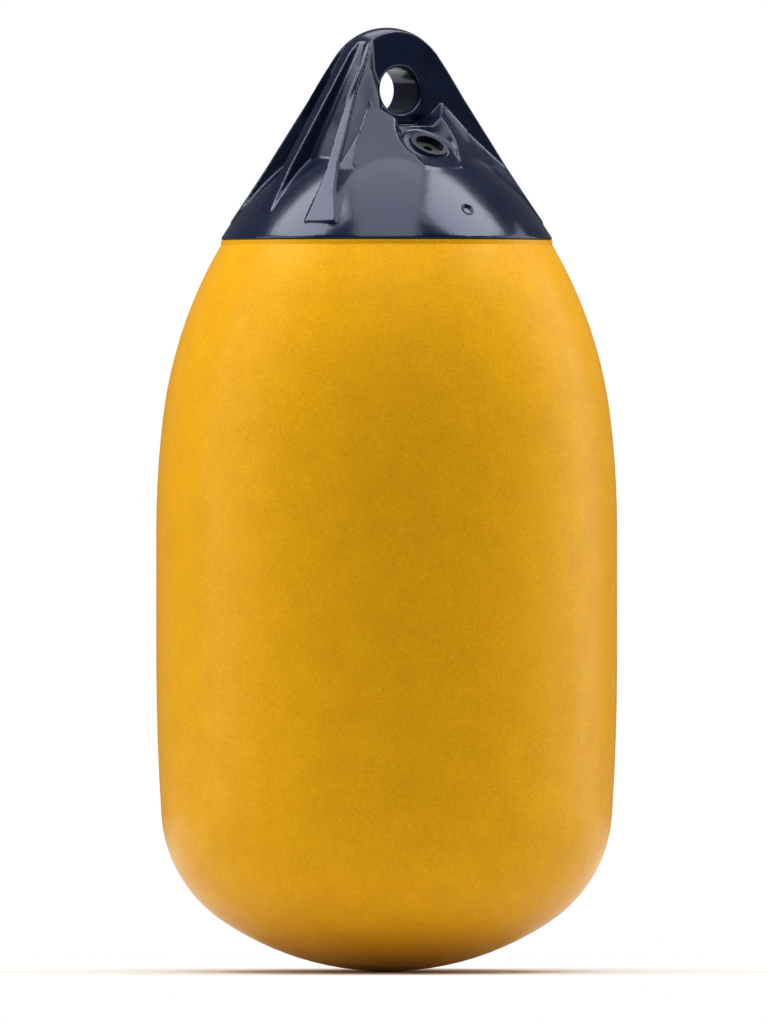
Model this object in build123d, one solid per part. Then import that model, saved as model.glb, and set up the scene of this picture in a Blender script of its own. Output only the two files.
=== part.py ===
from build123d import *
import os
from math import acos, atan, atan2, cos, degrees, hypot, radians, sin, sqrt, tan

# Low drag buoy: a blown vinyl hull under a moulded rope hold with an eye and an air valve.
# Millimetres, +Z up. The origin is on the buoy's axis at its waterline in still water.
# The rope eye runs along Y and the air valve faces the front, -Y.

# Hull
HULL_R = 150.0          # widest half-width
HULL_H = 475.7          # from the lowest point up to the rope hold's seat
HULL_WALL = 3.5         # vinyl wall
DRAFT = 70.0            # depth of the lowest point below the waterline
NECK_R = 107.9          # hull just under the rope hold
NECK_H = 3.0            # upright collar there
MOUTH_R = 92.0          # round opening that the rope hold plugs

# Arcs of the hull's outline, from the neck down, and how far two of them turn, in degrees
SHOULDER_ARC = 293.0
SIDE_ARC = 615.0
SIDE_TURN = 6.7
TAPER_ARC = 1530.0
TAPER_TURN = 3.8
CORNER_ARC = 90.0
BOTTOM_ARC = 190.0

# Rope hold, its heights measured from the seat on the hull
CAP_R = 107.7           # foot of the dome
CAP_RIM_H = 1.5         # upright rim at the foot
CAP_TOP = 138.6         # top of the nose
NOSE_R = 38.7
CONE_HALF = 31.9        # half angle of the cone that the ribs reach, in degrees
DOME_ARC = 196.0        # radius of the dome's side
LEDGE_H = 74.5          # ledge below the eye, where the dome ends
LEDGE_R = 27.9          # dome at the ledge
CAVITY_FOOT_R = 86.0    # air space under the dome
CAVITY_TOP_R = 52.0
CAVITY_H = 40.0
SPIGOT_H = 8.0          # collar that plugs the hull's mouth
SPIGOT_GAP = 0.05       # bonded joint round the collar

# Facets between the ribs: half-width at a height, and how fast it shrinks upwards
FRONT_FACE_AT = 48.5
FRONT_FACE_HALF = 65.3
FRONT_FACE_SLOPE = 0.777
FRONT_FACE_TURN = 30.0  # degrees from the eye's axis
SIDE_FACE_AT = 97.4
SIDE_FACE_HALF = 40.45
SIDE_FACE_SLOPE = 0.485
SIDE_FACE_TURN = 75.0
FACES_R = 69.5          # radius that the facets keep inside

# Ribs and web: thickness at the top, at a middle height and at the foot
RIB_FOOT_H = 11.5       # height at which ribs and web stop
RIB_TURN = 30.0         # degrees from the web to the ribs beside it
RIB_TOP = 4.0
RIB_MID = 5.2
RIB_MID_H = 55.0
RIB_FOOT = 15.0
WEB_TOP = 9.8
WEB_MID = 10.4
WEB_MID_H = 47.0
WEB_FOOT = 18.0

# Eye block, rope eye and the recess in front of and behind the eye
BLOCK_HALF = 14.0       # half the block's thickness along the eye
EYE_H = 97.3
EYE_R = 15.1
EYE_MOUTH = 2.5         # rounding of the eye's two mouths
RECESS_FLOOR = 12.4     # half-width of the recess at the ledge
RECESS_RISE = 16.3      # height of its sloping sides, at 45 degrees

# Air valve, square on the dome, in the pocket below the eye
VALVE_R_OUT = 50.0      # from the buoy's axis to the valve's centre
POCKET_R = 18.5         # pocket's floor round the valve, its wall leaning out at 45 degrees
OUTLET_HALF = 15.5      # half-width of the channel from the pocket down to the dome
SEAT_R = 11.5
SEAT_DEPTH = 20.0
SEAT_FLANGE_R = 12.6
SEAT_FLANGE_DEPTH = 1.5
SEAT_LIP = 1.0          # how far the flange stands above the dome
SEAT_GAP = 0.05         # bonded joint round the seat
VALVE_BORE_R = 9.45
VALVE_BORE_DEPTH = 9.0
SCREW_R = 5.1
SCREW_GAP = 0.08        # running gap round the screw's shank
SCREW_LENGTH = 10.0     # shank below the sealing ring
HEAD_GAP = 0.4          # round the screw's head
HEAD_H = 4.0
KEY_HALF = 3.0          # half-width of the six-sided key hole
KEY_DEPTH = 3.0
RING_H = 2.0
RING_R = 8.4

# Small round dimple in the front of the dome
DIMPLE_H = 19.5
DIMPLE_R = 3.75
DIMPLE_DEPTH = 1.6

SEAT_Z = HULL_H - DRAFT     # the rope hold's seat above the waterline
REACH = 2 * HULL_R          # longer than any cut or rib needs to be
FRONT = Plane(origin=(0, 0, 0), x_dir=(0, -1, 0), z_dir=(-1, 0, 0))


def arc(centre, radius, start, end):
    """Arc about centre from one angle to another, in radians."""
    return CenterArc(centre, radius, degrees(start), degrees(end - start))


def on_arc(centre, radius, angle):
    """Point of an arc at an angle in radians."""
    return (centre[0] + radius * cos(angle), centre[1] + radius * sin(angle))


def turned(outline):
    """Solid of revolution about Z from a half outline in radius and height."""
    return revolve(Plane.XZ * make_face(outline), Axis.Z)


def hull_form(inset):
    """The hull's solid form with every face moved inwards by inset."""
    side, taper = radians(SIDE_TURN), radians(TAPER_TURN)
    shoulder_c_r = HULL_R - SIDE_ARC + (SIDE_ARC - SHOULDER_ARC) * cos(side)
    neck = acos((NECK_R - shoulder_c_r) / SHOULDER_ARC)
    shoulder_c = (shoulder_c_r, -NECK_H - SHOULDER_ARC * sin(neck))
    side_c = (HULL_R - SIDE_ARC, shoulder_c[1] - (SIDE_ARC - SHOULDER_ARC) * sin(side))

    bottom_c = (0, BOTTOM_ARC - HULL_H)
    corner_c_r = HULL_R - TAPER_ARC + (TAPER_ARC - CORNER_ARC) * cos(taper)
    drop = sqrt((BOTTOM_ARC - CORNER_ARC) ** 2 - corner_c_r ** 2)
    corner_c = (corner_c_r, bottom_c[1] - drop)
    taper_c = (HULL_R - TAPER_ARC, corner_c[1] + (TAPER_ARC - CORNER_ARC) * sin(taper))
    corner = atan2(-drop, corner_c_r)

    neck_inset = acos((NECK_R - inset - shoulder_c_r) / (SHOULDER_ARC - inset))
    pole = -radians(90)
    top = (NECK_R - inset, -inset)
    outline = arc(bottom_c, BOTTOM_ARC - inset, pole, corner)
    outline += arc(corner_c, CORNER_ARC - inset, corner, -taper)
    outline += arc(taper_c, TAPER_ARC - inset, -taper, 0)
    outline += Line((HULL_R - inset, taper_c[1]), (HULL_R - inset, side_c[1]))
    outline += arc(side_c, SIDE_ARC - inset, 0, side)
    outline += arc(shoulder_c, SHOULDER_ARC - inset, side, neck_inset)
    outline += Line(on_arc(shoulder_c, SHOULDER_ARC - inset, neck_inset), top)
    outline += Line(top, (0, -inset))
    outline += Line((0, -inset), (0, inset - HULL_H))
    return turned(outline)


def hull():
    """Hollow vinyl hull with a round mouth at its top."""
    mouth = Pos(0, 0, -HULL_WALL) * Cylinder(MOUTH_R, 3 * HULL_WALL)
    return hull_form(0) - hull_form(HULL_WALL) - mouth


def dome_centre():
    """Centre of the arc through the dome's rim and its ledge, in radius and height."""
    run, rise = LEDGE_R - CAP_R, LEDGE_H - CAP_RIM_H
    chord = hypot(run, rise)
    back = sqrt(DOME_ARC ** 2 - chord ** 2 / 4) / chord
    return ((CAP_R + LEDGE_R) / 2 - rise * back, (CAP_RIM_H + LEDGE_H) / 2 + run * back)


def dome_height(radius):
    """Height of the dome's surface at a distance from the axis."""
    centre = dome_centre()
    return centre[1] + sqrt(DOME_ARC ** 2 - (radius - centre[0]) ** 2)


def dome_radius(height):
    """Distance of the dome's surface from the axis at a height."""
    centre = dome_centre()
    return centre[0] + sqrt(DOME_ARC ** 2 - (height - centre[1]) ** 2)


def dome_plane(radius):
    """Plane on the front of the dome, square to its surface, X across."""
    centre, height = dome_centre(), dome_height(radius)
    out = (radius - centre[0]) / DOME_ARC
    up = (height - centre[1]) / DOME_ARC
    return Plane(origin=(0, -radius, height), x_dir=(1, 0, 0), z_dir=(0, -out, up))


def dome():
    """Dome with its rim at the foot and its flat top at the ledge."""
    centre = dome_centre()
    start = atan2(CAP_RIM_H - centre[1], CAP_R - centre[0])
    end = atan2(LEDGE_H - centre[1], LEDGE_R - centre[0])
    outline = Line((0, 0), (CAP_R, 0)) + Line((CAP_R, 0), (CAP_R, CAP_RIM_H))
    outline += arc(centre, DOME_ARC, start, end)
    outline += Line((LEDGE_R, LEDGE_H), (0, LEDGE_H)) + Line((0, LEDGE_H), (0, 0))
    return turned(outline)


def envelope():
    """Cone with a round nose that ribs, web and eye block are trimmed to."""
    half = radians(CONE_HALF)
    nose_c = (0, CAP_TOP - NOSE_R)
    touch = on_arc(nose_c, NOSE_R, half)
    foot_r = touch[0] + (touch[1] - RIB_FOOT_H) * tan(half)
    outline = arc(nose_c, NOSE_R, half, radians(90)) + Line(touch, (foot_r, RIB_FOOT_H))
    outline += Line((foot_r, RIB_FOOT_H), (0, RIB_FOOT_H)) + Line((0, RIB_FOOT_H), (0, CAP_TOP))
    return turned(outline)


def pyramid(half, at, slope, turn):
    """Four-sided pyramid; its faces look turn degrees to either side of the eye's axis."""
    foot_half = half + slope * (at - RIB_FOOT_H)
    front, side = foot_half / cos(radians(turn)), foot_half / sin(radians(turn))
    plan = Polygon((0, -front), (side, 0), (0, front), (-side, 0), align=None)
    height = 0.95 * foot_half / slope
    return extrude(Pos(0, 0, RIB_FOOT_H) * plan, amount=height, taper=degrees(atan(slope)))


def upright_plate(top, mid, mid_h, foot):
    """Plate from the axis along +X whose thickness changes with its height."""
    right = [(foot / 2, RIB_FOOT_H), (mid / 2, mid_h), (top / 2, CAP_TOP)]
    left = [(-half, height) for half, height in reversed(right)]
    return extrude(Plane.YZ * Polygon(*right, *left, align=None), amount=REACH)


def recess():
    """Cut in front of the eye block: ledge, sloping sides, then all between two ribs."""
    low, high = LEDGE_H, LEDGE_H + RECESS_RISE
    side = [(RECESS_FLOOR, low), (RECESS_FLOOR + RECESS_RISE, high)]
    side += [(RECESS_FLOOR + RECESS_RISE, CAP_TOP + NOSE_R)]
    across = Polygon(*side, *[(-half, height) for half, height in reversed(side)], align=None)
    trough = extrude(Plane.XZ * across, amount=REACH)
    spread = tan(radians(90 - RIB_TURN))
    wedge = Polygon((0, 0), (-REACH * spread, -REACH), (REACH * spread, -REACH), align=None)
    between = extrude(wedge, amount=REACH)
    upper = Pos(0, 0, high) * between
    return (trough & between) + upper - Box(2 * REACH, 2 * BLOCK_HALF, 2 * REACH)


def valve_pocket():
    """Cut round the valve down to the dome, open towards the foot."""
    rise = POCKET_R
    cone = Cone(POCKET_R, POCKET_R + rise, rise, align=(Align.CENTER, Align.CENTER, Align.MIN))
    across = Polygon((OUTLET_HALF, 0), (OUTLET_HALF + rise, rise), (-OUTLET_HALF - rise, rise),
                     (-OUTLET_HALF, 0), align=None)
    channel = extrude(Plane.XZ * across, amount=REACH)
    sunk = Pos(0, 0, -SEAT_FLANGE_DEPTH)
    return dome_plane(VALVE_R_OUT).location * sunk * (cone + channel)


def eye_cut():
    """Round eye along Y whose two mouths are rounded."""
    mouth = EYE_R + EYE_MOUTH
    half = BLOCK_HALF - EYE_MOUTH
    quarter = radians(90)
    outline = Line((0, -BLOCK_HALF), (mouth, -BLOCK_HALF))
    outline += arc((mouth, -half), EYE_MOUTH, 3 * quarter, 2 * quarter)
    outline += Line((EYE_R, -half), (EYE_R, half))
    outline += arc((mouth, half), EYE_MOUTH, 2 * quarter, quarter)
    outline += Line((mouth, BLOCK_HALF), (0, BLOCK_HALF)) + Line((0, BLOCK_HALF), (0, -BLOCK_HALF))
    return Pos(0, 0, EYE_H) * Rot(90, 0, 0) * turned(outline)


def rope_hold():
    """Moulded top: dome, facets, web, four ribs and the eye block, with its cuts."""
    cut = recess()
    faces = pyramid(FRONT_FACE_HALF, FRONT_FACE_AT, FRONT_FACE_SLOPE, FRONT_FACE_TURN)
    faces = faces - cut - Rot(0, 0, 180) * cut - valve_pocket()
    block = Pos(0, 0, CAP_TOP / 2) * Box(REACH, 2 * BLOCK_HALF, CAP_TOP)
    inside = pyramid(SIDE_FACE_HALF, SIDE_FACE_AT, SIDE_FACE_SLOPE, SIDE_FACE_TURN)
    core = (faces + block) & inside & Pos(0, 0, CAP_TOP / 2) * Cylinder(FACES_R, CAP_TOP)

    rib = upright_plate(RIB_TOP, RIB_MID, RIB_MID_H, RIB_FOOT)
    web = upright_plate(WEB_TOP, WEB_MID, WEB_MID_H, WEB_FOOT)
    upper = core + web + Rot(0, 0, 180) * web
    for turn in (RIB_TURN, 180 - RIB_TURN, 180 + RIB_TURN, 360 - RIB_TURN):
        upper += Rot(0, 0, turn) * rib

    spigot = Pos(0, 0, -SPIGOT_H / 2) * Cylinder(MOUTH_R - SPIGOT_GAP, SPIGOT_H)
    spigot -= Pos(0, 0, -SPIGOT_H / 2) * Cylinder(CAVITY_FOOT_R, SPIGOT_H)
    cavity = Cone(CAVITY_FOOT_R, CAVITY_TOP_R, CAVITY_H,
                  align=(Align.CENTER, Align.CENTER, Align.MIN))
    solid = dome() + (upper & envelope()) + spigot - cavity - eye_cut()

    valve = dome_plane(VALVE_R_OUT).location
    solid -= valve * Pos(0, 0, -SEAT_DEPTH) * Cylinder(SEAT_R + SEAT_GAP, 4 * SEAT_DEPTH)
    solid -= valve * Pos(0, 0, SEAT_DEPTH / 2 - SEAT_FLANGE_DEPTH) * Cylinder(
        SEAT_FLANGE_R + SEAT_GAP, SEAT_DEPTH)
    dimple = Pos(0, 0, DIMPLE_DEPTH / 2) * Cylinder(DIMPLE_R, 3 * DIMPLE_DEPTH)
    solid -= dome_plane(dome_radius(DIMPLE_H)).location * dimple
    return solid


def from_valve(start, end, radius):
    """Cylinder on the valve's axis between two heights over the dome's surface."""
    return Pos(0, 0, (start + end) / 2) * Cylinder(radius, abs(end - start))


def valve_seat():
    """Flanged bush that the screw turns in, bonded into the dome."""
    body = from_valve(-SEAT_DEPTH, 0, SEAT_R) + from_valve(-SEAT_FLANGE_DEPTH, SEAT_LIP,
                                                          SEAT_FLANGE_R)
    body -= from_valve(-VALVE_BORE_DEPTH, 2 * SEAT_LIP, VALVE_BORE_R)
    body -= from_valve(-2 * SEAT_DEPTH, 0, SCREW_R + SCREW_GAP)
    return dome_plane(VALVE_R_OUT).location * body


def valve_screw():
    """Headed screw that closes the valve, with a six-sided key hole."""
    under = RING_H - VALVE_BORE_DEPTH
    top = under + HEAD_H
    screw = from_valve(under, top, VALVE_BORE_R - HEAD_GAP)
    screw += from_valve(-VALVE_BORE_DEPTH - SCREW_LENGTH, under, SCREW_R)
    key = extrude(RegularPolygon(KEY_HALF, 6, major_radius=False), amount=KEY_DEPTH)
    screw -= Pos(0, 0, top - KEY_DEPTH) * key
    return dome_plane(VALVE_R_OUT).location * screw


def sealing_ring():
    """Flat rubber ring under the screw's head."""
    low = -VALVE_BORE_DEPTH
    ring = from_valve(low, low + RING_H, RING_R) - from_valve(
        low, low + RING_H, SCREW_R + SCREW_GAP)
    return dome_plane(VALVE_R_OUT).location * ring


def main():
    """Build each piece on the waterline and write it."""
    pieces = {
        "hull": hull(),
        "rope_hold": rope_hold(),
        "valve_seat": valve_seat(),
        "valve_screw": valve_screw(),
        "sealing_ring": sealing_ring(),
    }
    os.makedirs("parts", exist_ok=True)
    for name, piece in pieces.items():
        export_step(Pos(0, 0, SEAT_Z) * piece, f"parts/{name}.step")


main()
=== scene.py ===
"""Dresses the low drag buoy: its blown hull, moulded rope hold and air valve, in a pale studio."""

import logging
import math
from dataclasses import dataclass
from enum import Enum

import bmesh
import bpy
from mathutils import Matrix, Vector


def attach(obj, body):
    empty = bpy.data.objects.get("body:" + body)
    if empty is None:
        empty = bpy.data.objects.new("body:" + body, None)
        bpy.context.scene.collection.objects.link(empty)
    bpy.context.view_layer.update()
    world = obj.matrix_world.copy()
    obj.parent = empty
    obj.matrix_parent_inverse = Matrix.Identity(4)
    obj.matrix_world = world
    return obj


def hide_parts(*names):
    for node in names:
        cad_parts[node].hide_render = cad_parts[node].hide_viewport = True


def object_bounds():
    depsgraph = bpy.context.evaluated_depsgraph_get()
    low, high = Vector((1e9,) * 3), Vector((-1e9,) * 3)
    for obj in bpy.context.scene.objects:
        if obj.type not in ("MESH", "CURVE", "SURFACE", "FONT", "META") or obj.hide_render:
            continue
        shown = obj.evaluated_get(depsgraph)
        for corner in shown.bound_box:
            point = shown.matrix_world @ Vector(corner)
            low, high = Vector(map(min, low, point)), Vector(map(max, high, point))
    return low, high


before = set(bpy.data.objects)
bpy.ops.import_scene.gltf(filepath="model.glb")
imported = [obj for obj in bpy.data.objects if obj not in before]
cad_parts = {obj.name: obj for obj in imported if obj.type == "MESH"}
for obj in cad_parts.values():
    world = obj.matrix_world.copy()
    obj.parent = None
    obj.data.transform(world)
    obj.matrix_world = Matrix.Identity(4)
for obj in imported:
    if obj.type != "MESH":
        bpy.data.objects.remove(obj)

CAD_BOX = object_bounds()
MM = 0.001
SEAT_Z = 405.7 * MM     # where the rope hold sits on the hull
Colour = tuple[float, float, float, float]
WHITE: Colour = (1, 1, 1, 1)

log = logging.getLogger("buoy")


class Body(Enum):
    """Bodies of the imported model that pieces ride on."""

    FLOAT = "float"
    PLUG = "plug"


class Recipe:
    """Node tree of one material, built a node at a time."""

    def __init__(self, name: str) -> None:
        """Start an empty node tree.

        Args:
            name: the material's name.
        """
        self.material = bpy.data.materials.new(name)
        self.material.use_nodes = True
        self.tree = self.material.node_tree
        self.tree.nodes.clear()

    def add(self, kind: str, inputs: dict | None = None, **settings: object) -> bpy.types.Node:
        """Add a node, give it its settings and fill its inputs.

        Args:
            kind: the node's type, without its ShaderNode prefix.
            inputs: what each input holds, by name or number: a value, or a socket to link.
            settings: the node's own properties.

        Returns:
            The new node.
        """
        node = self.tree.nodes.new("ShaderNode" + kind)
        for name, value in settings.items():
            setattr(node, name, value)
        for key, value in (inputs or {}).items():
            if isinstance(value, bpy.types.NodeSocket):
                self.tree.links.new(value, node.inputs[key])
            else:
                node.inputs[key].default_value = value
        return node

    def noise(self, scale: float, detail: float, rough: float = 0.5,
              stretch: tuple[float, float, float] = (1, 1, 1)) -> bpy.types.NodeSocket:
        """Noise on the piece's own coordinates, in waves a metre.

        Args:
            scale: how many waves a metre holds.
            detail: how many finer octaves it carries.
            rough: how strong those octaves are.
            stretch: factor on the scale along each axis.

        Returns:
            The noise's value, about one half on average.
        """
        place = self.add("TexCoord")
        mapped = self.add("Mapping", {"Vector": place.outputs["Object"], "Scale": stretch})
        found = self.add("TexNoise", {"Vector": mapped.outputs["Vector"], "Scale": scale,
                                      "Detail": detail, "Roughness": rough})
        return found.outputs["Fac"]

    def spread(self, value: bpy.types.NodeSocket, low: float, high: float,
               start: float = 0.3, end: float = 0.7) -> bpy.types.NodeSocket:
        """Map a value that runs from start to end onto a new range.

        Args:
            value: the socket to map.
            low: what start becomes.
            high: what end becomes.
            start: the value's low end.
            end: the value's high end.

        Returns:
            The mapped value.
        """
        mapped = self.add("MapRange", {"Value": value, "From Min": start, "From Max": end,
                                       "To Min": low, "To Max": high})
        return mapped.outputs["Result"]

    def blend(self, share: bpy.types.NodeSocket, first: object,
              second: object) -> bpy.types.NodeSocket:
        """Mix two colours.

        Args:
            share: how much of the second colour shows, from 0 to 1.
            first: a colour or a colour socket.
            second: a colour or a colour socket.

        Returns:
            The mixed colour.
        """
        mixed = self.add("Mix", {0: share, 6: first, 7: second}, data_type="RGBA")
        return mixed.outputs[2]

    def bump(self, height: bpy.types.NodeSocket, depth: float,
             under: bpy.types.NodeSocket | None = None) -> bpy.types.NodeSocket:
        """Turn a height into a normal.

        Args:
            height: the height, from 0 to 1.
            depth: the relief that a height of 1 stands for, in metres.
            under: a normal that this relief lies on.

        Returns:
            The bumped normal.
        """
        inputs: dict = {"Height": height, "Distance": depth, "Strength": 1.0}
        if under is not None:
            inputs["Normal"] = under
        return self.add("Bump", inputs).outputs["Normal"]

    def finish(self, inputs: dict) -> bpy.types.Material:
        """Close the tree with a principled shader.

        Args:
            inputs: the shader's inputs.

        Returns:
            The finished material.
        """
        shader = self.add("BsdfPrincipled", inputs)
        self.add("OutputMaterial", {"Surface": shader.outputs["BSDF"]})
        return self.material


@dataclass(frozen=True)
class HullVinyl:
    """Yellow blown vinyl: satin, faintly mottled, with a fine grain."""

    bright: Colour = (0.86, 0.415, 0.007, 1)
    deep: Colour = (0.80, 0.375, 0.007, 1)
    sheen: Colour = (1.0, 0.6, 0.1, 1)
    specks: Colour = (0, 0, 0, 1)
    speck_share: float = 0.16
    roughness: tuple[float, float] = (0.28, 0.36)
    specular: float = 0.22
    mottle_waves: float = 45.0
    grain_waves: float = 520.0
    grain_depth: float = 0.00005
    swell_waves: float = 11.0
    swell_depth: float = 0.0006

    def material(self) -> bpy.types.Material:
        """Build the hull's material."""
        recipe = Recipe("hull_vinyl")
        mottle = recipe.spread(recipe.noise(self.mottle_waves, 3), 0, 1)
        grain = recipe.noise(self.grain_waves, 2, 0.6)
        shaded = recipe.blend(mottle, self.bright, self.deep)
        colour = recipe.blend(recipe.spread(grain, 0, self.speck_share), shaded, self.specks)
        swell = recipe.noise(self.swell_waves, 1)
        normal = recipe.bump(grain, self.grain_depth, recipe.bump(swell, self.swell_depth))
        return recipe.finish({
            "Base Color": colour,
            "Roughness": recipe.spread(mottle, *self.roughness, 0, 1),
            "Normal": normal,
            "Specular IOR Level": self.specular,
            "Specular Tint": self.sheen,
        })


@dataclass(frozen=True)
class HoldVinyl:
    """Navy moulded vinyl: glossy, with soft flow marks and a few dull patches."""

    navy: Colour = (0.003, 0.006, 0.020, 1)
    worn: Colour = (0.006, 0.010, 0.028, 1)
    sheen: Colour = (0.72, 0.77, 1.0, 1)
    roughness: tuple[float, float] = (0.13, 0.2)
    ior: float = 1.5
    patch_waves: float = 25.0
    grain_waves: float = 700.0
    grain_depth: float = 0.000006
    flow_waves: float = 18.0
    flow_depth: float = 0.0004
    flow_stretch: tuple[float, float, float] = (1, 1, 0.4)

    def material(self) -> bpy.types.Material:
        """Build the rope hold's material."""
        recipe = Recipe("hold_vinyl")
        patch = recipe.spread(recipe.noise(self.patch_waves, 4), 0, 1)
        grain = recipe.noise(self.grain_waves, 2, 0.6)
        flow = recipe.noise(self.flow_waves, 1, stretch=self.flow_stretch)
        normal = recipe.bump(grain, self.grain_depth, recipe.bump(flow, self.flow_depth))
        return recipe.finish({
            "Base Color": recipe.blend(patch, self.navy, self.worn),
            "Roughness": recipe.spread(patch, *self.roughness, 0, 1),
            "Normal": normal,
            "IOR": self.ior,
            "Specular Tint": self.sheen,
        })


@dataclass(frozen=True)
class ValvePlastic:
    """Dark moulded plastic of the valve's own pieces."""

    name: str
    base: Colour
    worn: Colour
    roughness: float
    wear: float = 0.1
    patch_waves: float = 160.0
    grain_waves: float = 1600.0
    grain_depth: float = 0.00002

    def material(self) -> bpy.types.Material:
        """Build the material of one valve piece."""
        recipe = Recipe(self.name)
        patch = recipe.spread(recipe.noise(self.patch_waves, 3), 0, 1)
        grain = recipe.noise(self.grain_waves, 2, 0.6)
        return recipe.finish({
            "Base Color": recipe.blend(patch, self.base, self.worn),
            "Roughness": recipe.spread(patch, self.roughness, self.roughness + self.wear, 0, 1),
            "Normal": recipe.bump(grain, self.grain_depth),
        })


@dataclass(frozen=True)
class FloorPaint:
    """Pale floor that fades into the white behind the buoy."""

    near: float = 0.12
    far: float = 0.6
    paint: Colour = (0.82, 0.82, 0.82, 1)

    def material(self) -> bpy.types.Material:
        """Build the floor's material."""
        recipe = Recipe("pale_floor")
        place = recipe.add("TexCoord")
        reach = recipe.add("VectorMath", {0: place.outputs["Object"]}, operation="LENGTH")
        share = recipe.spread(reach.outputs["Value"], 0, 1, self.near, self.far)
        matt = recipe.add("BsdfDiffuse", {"Color": self.paint})
        white = recipe.add("Emission", {"Color": WHITE, "Strength": 1.0})
        mixed = recipe.add("MixShader", {0: share, 1: matt.outputs["BSDF"],
                                         2: white.outputs["Emission"]})
        recipe.add("OutputMaterial", {"Surface": mixed.outputs["Shader"]})
        return recipe.material


def dress(piece: bpy.types.Object, material: bpy.types.Material) -> None:
    """Give a piece one material.

    Args:
        piece: the object to dress.
        material: what all its faces get.
    """
    piece.data.materials.clear()
    piece.data.materials.append(material)


@dataclass
class Hull:
    """The blown vinyl hull, which keeps its packed form."""

    node: str = "hull"

    def build(self) -> bpy.types.Object:
        """Dress the hull and return it."""
        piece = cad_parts[self.node]
        dress(piece, HullVinyl().material())
        return piece


def eased(value: float, start: float, end: float) -> float:
    """Smooth step from 0 at start to 1 at end.

    Args:
        value: where to read it.
        start: its low end.
        end: its high end.

    Returns:
        A share from 0 to 1.
    """
    share = min(1.0, max(0.0, (value - start) / (end - start)))
    return share * share * (3 - 2 * share)


@dataclass(frozen=True)
class Ribs:
    """The four ribs at their full breadth, in millimetres and degrees.

    Each row of the sections gives a height over the seat, how far across the rib reaches towards
    its web, how far its outer edge reaches the other way, how far its foot does on that side, and
    the foot's distance from the axis.
    """

    turn: float = 30.0
    cone_half: float = 31.9
    cone_r: float = 32.86
    cone_h: float = 120.35
    sections: tuple[tuple[float, float, float, float, float], ...] = (
        (11.5, 9.1, 13.3, 14.7, 99.2),
        (30.0, 6.4, 6.5, 11.5, 85.2),
        (45.6, 4.7, 3.6, 12.5, 70.0),
        (70.7, 4.9, 3.1, 6.3, 51.8),
        (98.0, 3.5, 1.8, 4.4, 30.0),
        (112.0, 1.8, 1.5, 2.0, 30.0),
    )
    inner: float = 22.0
    foot_proud: float = 1.2
    foot_reach: float = 45.0

    def place(self, out: float, across: float, height: float, front: int, side: int) -> Vector:
        """Point of one rib in the model's frame.

        Args:
            out: distance along the rib.
            across: distance to its outer side.
            height: height over the seat.
            front: 1 or -1, the end of the eye's axis that it stands at.
            side: 1 or -1, the web that it stands beside.

        Returns:
            The point.
        """
        turn = math.radians(self.turn)
        x = out * math.cos(turn) - across * math.sin(turn)
        y = out * math.sin(turn) + across * math.cos(turn)
        return Vector((side * x * MM, front * y * MM, SEAT_Z + height * MM))

    def add_to(self, form: bmesh.types.BMesh) -> None:
        """Add the four closed forms to a mesh.

        Args:
            form: the mesh that takes them.
        """
        for front, side in ((1, 1), (1, -1), (-1, 1), (-1, -1)):
            rings = []
            for height, web_side, outer, base, base_r in self.sections:
                edge = self.cone_r + (self.cone_h - height) * math.tan(math.radians(self.cone_half))
                edge += self.foot_proud * max(0.0, 1 - height / self.foot_reach)
                plan = ((self.inner, -web_side), (edge, -web_side), (edge, outer), (base_r, base),
                        (self.inner, base))
                rings.append([form.verts.new(self.place(out, across, height, front, side))
                              for out, across in plan])
            for low, high in zip(rings, rings[1:]):
                for i, corner in enumerate(low):
                    j = (i + 1) % len(low)
                    form.faces.new((corner, low[j], high[j], high[i]))
            form.faces.new(rings[0][::-1])
            form.faces.new(rings[-1])


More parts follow.
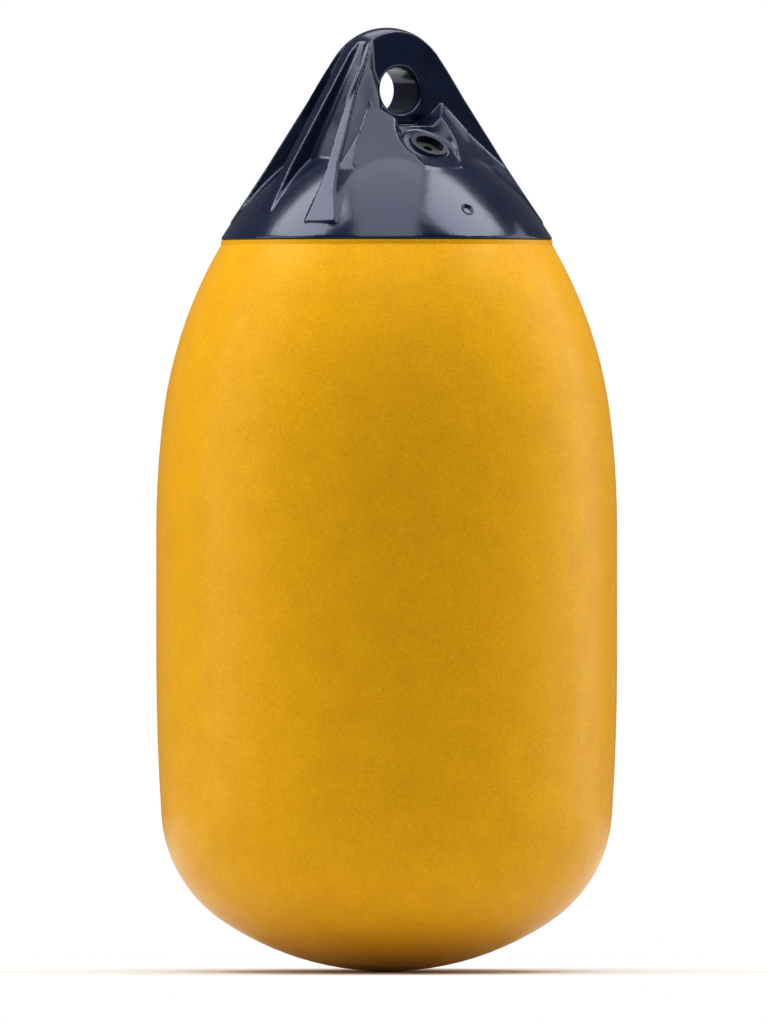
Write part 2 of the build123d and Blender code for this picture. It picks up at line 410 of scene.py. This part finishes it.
@dataclass
class RopeHold:
    """The moulded top: its packed form with soft edges, broad ribs and a leaning eye block."""

    node: str = "rope_hold"
    voxel: float = 0.8 * MM
    merge: float = 0.001 * MM
    softness: float = 0.5
    passes: int = 7
    triangles: int = 180_000
    block_grow: float = 2.6
    block_draft: float = 4.5
    block_rise: tuple[float, float] = (74.0, 84.0)
    block_face: tuple[float, float] = (7.0, 13.0)
    block_end: tuple[float, float] = (16.0, 25.0)
    eye_h: float = 97.3

    def build(self) -> bpy.types.Object:
        """Form the moulded top, dress it and return it."""
        piece = self.softened()
        dress(piece, HoldVinyl().material())
        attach(piece, Body.FLOAT.value)
        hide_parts(self.node)
        return piece

    def softened(self) -> bpy.types.Object:
        """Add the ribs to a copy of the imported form, soften its edges and lean its eye block.

        Returns:
            The new object, with its modifiers applied.
        """
        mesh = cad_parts[self.node].data.copy()
        form = bmesh.new()
        form.from_mesh(mesh)
        bmesh.ops.remove_doubles(form, verts=form.verts, dist=self.merge)
        Ribs().add_to(form)
        form.to_mesh(mesh)
        form.free()
        rough = bpy.data.objects.new("hold_rough", mesh)
        bpy.context.scene.collection.objects.link(rough)
        remesh = rough.modifiers.new("voxels", "REMESH")
        remesh.mode = "VOXEL"
        remesh.voxel_size = self.voxel
        smooth = rough.modifiers.new("soften", "SMOOTH")
        smooth.factor = self.softness
        smooth.iterations = self.passes
        thinned = rough.modifiers.new("thin", "DECIMATE")
        thinned.ratio = 1.0
        seen = bpy.context.evaluated_depsgraph_get()
        quads = len(rough.evaluated_get(seen).data.polygons)
        thinned.ratio = min(1.0, self.triangles / (2 * quads))
        seen = bpy.context.evaluated_depsgraph_get()
        made = bpy.data.meshes.new_from_object(rough.evaluated_get(seen))
        bpy.data.objects.remove(rough)
        made.name = "rope_hold_moulding"
        for vertex in made.vertices:
            vertex.co.y += self.growth(vertex.co)
        made.polygons.foreach_set("use_smooth", [True] * len(made.polygons))
        piece = bpy.data.objects.new("rope_hold_moulding", made)
        bpy.context.scene.collection.objects.link(piece)
        return piece

    def growth(self, point: Vector) -> float:
        """How far the eye block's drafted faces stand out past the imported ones.

        Args:
            point: a point of the surface.

        Returns:
            The shift along the eye's axis, in metres.
        """
        height, out = (point.z - SEAT_Z) / MM, abs(point.y) / MM
        draft = math.tan(math.radians(self.block_draft)) * (self.eye_h - height)
        share = eased(height, *self.block_rise) * eased(out, *self.block_face)
        share *= 1 - eased(out, *self.block_end)
        return math.copysign(max(0.0, self.block_grow + draft) * share * MM, point.y)


@dataclass
class AirValve:
    """The valve's seat, screw and sealing ring."""

    seat: str = "valve_seat"
    screw: str = "valve_screw"
    ring: str = "sealing_ring"

    def build(self) -> list[bpy.types.Object]:
        """Dress the valve's pieces and return them."""
        finishes = {
            self.seat: ValvePlastic("seat_plastic", (0.003, 0.006, 0.02, 1),
                                    (0.006, 0.01, 0.028, 1), 0.25),
            self.screw: ValvePlastic("screw_plastic", (0.003, 0.003, 0.004, 1),
                                     (0.006, 0.006, 0.008, 1), 0.35),
            self.ring: ValvePlastic("ring_rubber", (0.008, 0.008, 0.008, 1),
                                    (0.02, 0.02, 0.02, 1), 0.6),
        }
        pieces = []
        for node, finish in finishes.items():
            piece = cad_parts[node]
            dress(piece, finish.material())
            pieces.append(piece)
        return pieces


@dataclass(frozen=True)
class SoftBox:
    """Rectangular lamp that faces the buoy.

    Its place is an angle from the camera's direction in degrees, positive to the right, a height
    over the waterline and a distance from the buoy's axis, in metres. Its size is a width and a
    height in metres, and its radiance how bright its face looks where the white background is 1.
    """

    name: str
    around: float
    height: float
    distance: float
    size: tuple[float, float]
    radiance: float


SIDE_BOX = (1.2, 1.8)
TOP_BOX = (0.9, 0.9)
SOFT_BOXES = (
    SoftBox("left_box", -80, 0.5, 1.6, SIDE_BOX, 2.1),
    SoftBox("right_box", 106, 0.5, 1.6, SIDE_BOX, 1.7),
    SoftBox("right_card", 70, 0.02, 1.3, (0.9, 0.7), 0.8),
    SoftBox("top_box", 0, 1.9, 0.05, TOP_BOX, 3.0),
    SoftBox("front_top", 0, 1.7, 0.9, TOP_BOX, 3.0),
    SoftBox("left_top", -90, 1.7, 0.9, TOP_BOX, 6.4),
    SoftBox("right_top", 90, 1.7, 0.9, TOP_BOX, 6.6),
    SoftBox("back_top", 180, 1.7, 0.9, TOP_BOX, 2.1),
)


@dataclass
class Studio:
    """Pale floor, soft lights and the camera, all set out from the photograph's viewpoint."""

    turn: float = -33.5
    distance: float = 20.0
    pixel: float = 0.6508 * MM
    image: tuple[int, int] = (768, 1024)
    axis_x: float = 386.7
    seat_y: float = 240.5
    sensor: float = 36.0
    clip: tuple[float, float] = (1.0, 100.0)
    floor_r: float = 1.5
    floor_gap: float = 0.2 * MM
    ambient: float = 0.12
    aim_height: float = 0.25

    def towards(self, around: float, height: float, distance: float) -> Vector:
        """Point at an angle round the buoy from the camera, positive to the right.

        Args:
            around: angle from the camera's direction, in degrees.
            height: height above the waterline, in metres.
            distance: distance from the buoy's axis, in metres.

        Returns:
            The point in the model's frame.
        """
        angle = math.radians(self.turn + around)
        return Vector((math.sin(angle) * distance, -math.cos(angle) * distance, height))

    def camera(self) -> None:
        """Place the camera level with the picture's middle."""
        data = bpy.data.cameras.new("camera")
        data.sensor_width = self.sensor
        data.lens = self.sensor * self.distance / (self.image[1] * self.pixel)
        data.clip_start, data.clip_end = self.clip
        piece = bpy.data.objects.new("camera", data)
        bpy.context.scene.collection.objects.link(piece)
        middle = SEAT_Z + (self.seat_y - self.image[1] / 2) * self.pixel
        left = (self.axis_x - self.image[0] / 2) * self.pixel
        piece.location = self.towards(0, middle, self.distance) + self.towards(-90, 0, left)
        piece.rotation_euler = (math.radians(90), 0, math.radians(self.turn))
        bpy.context.scene.camera = piece

    def floor(self) -> None:
        """Lay the floor just under the hull's lowest point."""
        form = bmesh.new()
        bmesh.ops.create_circle(form, cap_ends=True, segments=96, radius=self.floor_r)
        level = CAD_BOX[0].z - self.floor_gap
        bmesh.ops.translate(form, verts=form.verts, vec=(0, 0, level))
        mesh = bpy.data.meshes.new("floor")
        form.to_mesh(mesh)
        form.free()
        piece = bpy.data.objects.new("floor", mesh)
        bpy.context.scene.collection.objects.link(piece)
        dress(piece, FloorPaint().material())

    def hang(self, box: SoftBox) -> None:
        """Hang a soft box that faces the middle of the buoy.

        Args:
            box: the lamp to hang.
        """
        data = bpy.data.lights.new(box.name, "AREA")
        data.shape = "RECTANGLE"
        data.size, data.size_y = box.size
        data.energy = box.radiance * math.pi * box.size[0] * box.size[1]
        piece = bpy.data.objects.new(box.name, data)
        bpy.context.scene.collection.objects.link(piece)
        piece.location = self.towards(box.around, box.height, box.distance)
        aim = Vector((0, 0, self.aim_height)) - piece.location
        piece.rotation_euler = aim.to_track_quat("-Z", "Y").to_euler()

    def surroundings(self) -> None:
        """White room that is dim to everything but the camera."""
        world = bpy.data.worlds.new("room")
        world.use_nodes = True
        tree = world.node_tree
        tree.nodes.clear()
        sight = tree.nodes.new("ShaderNodeLightPath")
        dim = tree.nodes.new("ShaderNodeBackground")
        dim.inputs["Color"].default_value = WHITE
        dim.inputs["Strength"].default_value = self.ambient
        white = tree.nodes.new("ShaderNodeBackground")
        white.inputs["Color"].default_value = WHITE
        mixed = tree.nodes.new("ShaderNodeMixShader")
        out = tree.nodes.new("ShaderNodeOutputWorld")
        tree.links.new(sight.outputs["Is Camera Ray"], mixed.inputs[0])
        tree.links.new(dim.outputs["Background"], mixed.inputs[1])
        tree.links.new(white.outputs["Background"], mixed.inputs[2])
        tree.links.new(mixed.outputs["Shader"], out.inputs["Surface"])
        bpy.context.scene.world = world
        bpy.context.scene.view_settings.view_transform = "Standard"

    def build(self) -> None:
        """Set out the studio."""
        self.camera()
        self.floor()
        self.surroundings()
        for box in SOFT_BOXES:
            self.hang(box)


def main() -> None:
    """Build the buoy's pieces and the studio, and report each piece."""
    logging.basicConfig(level=logging.INFO, format="%(message)s")
    Studio().build()
    pieces = [Hull().build(), RopeHold().build(), *AirValve().build()]
    for piece in pieces:
        log.info("%s: %d faces", piece.name, len(piece.data.polygons))


if __name__ == "__main__":
    main()
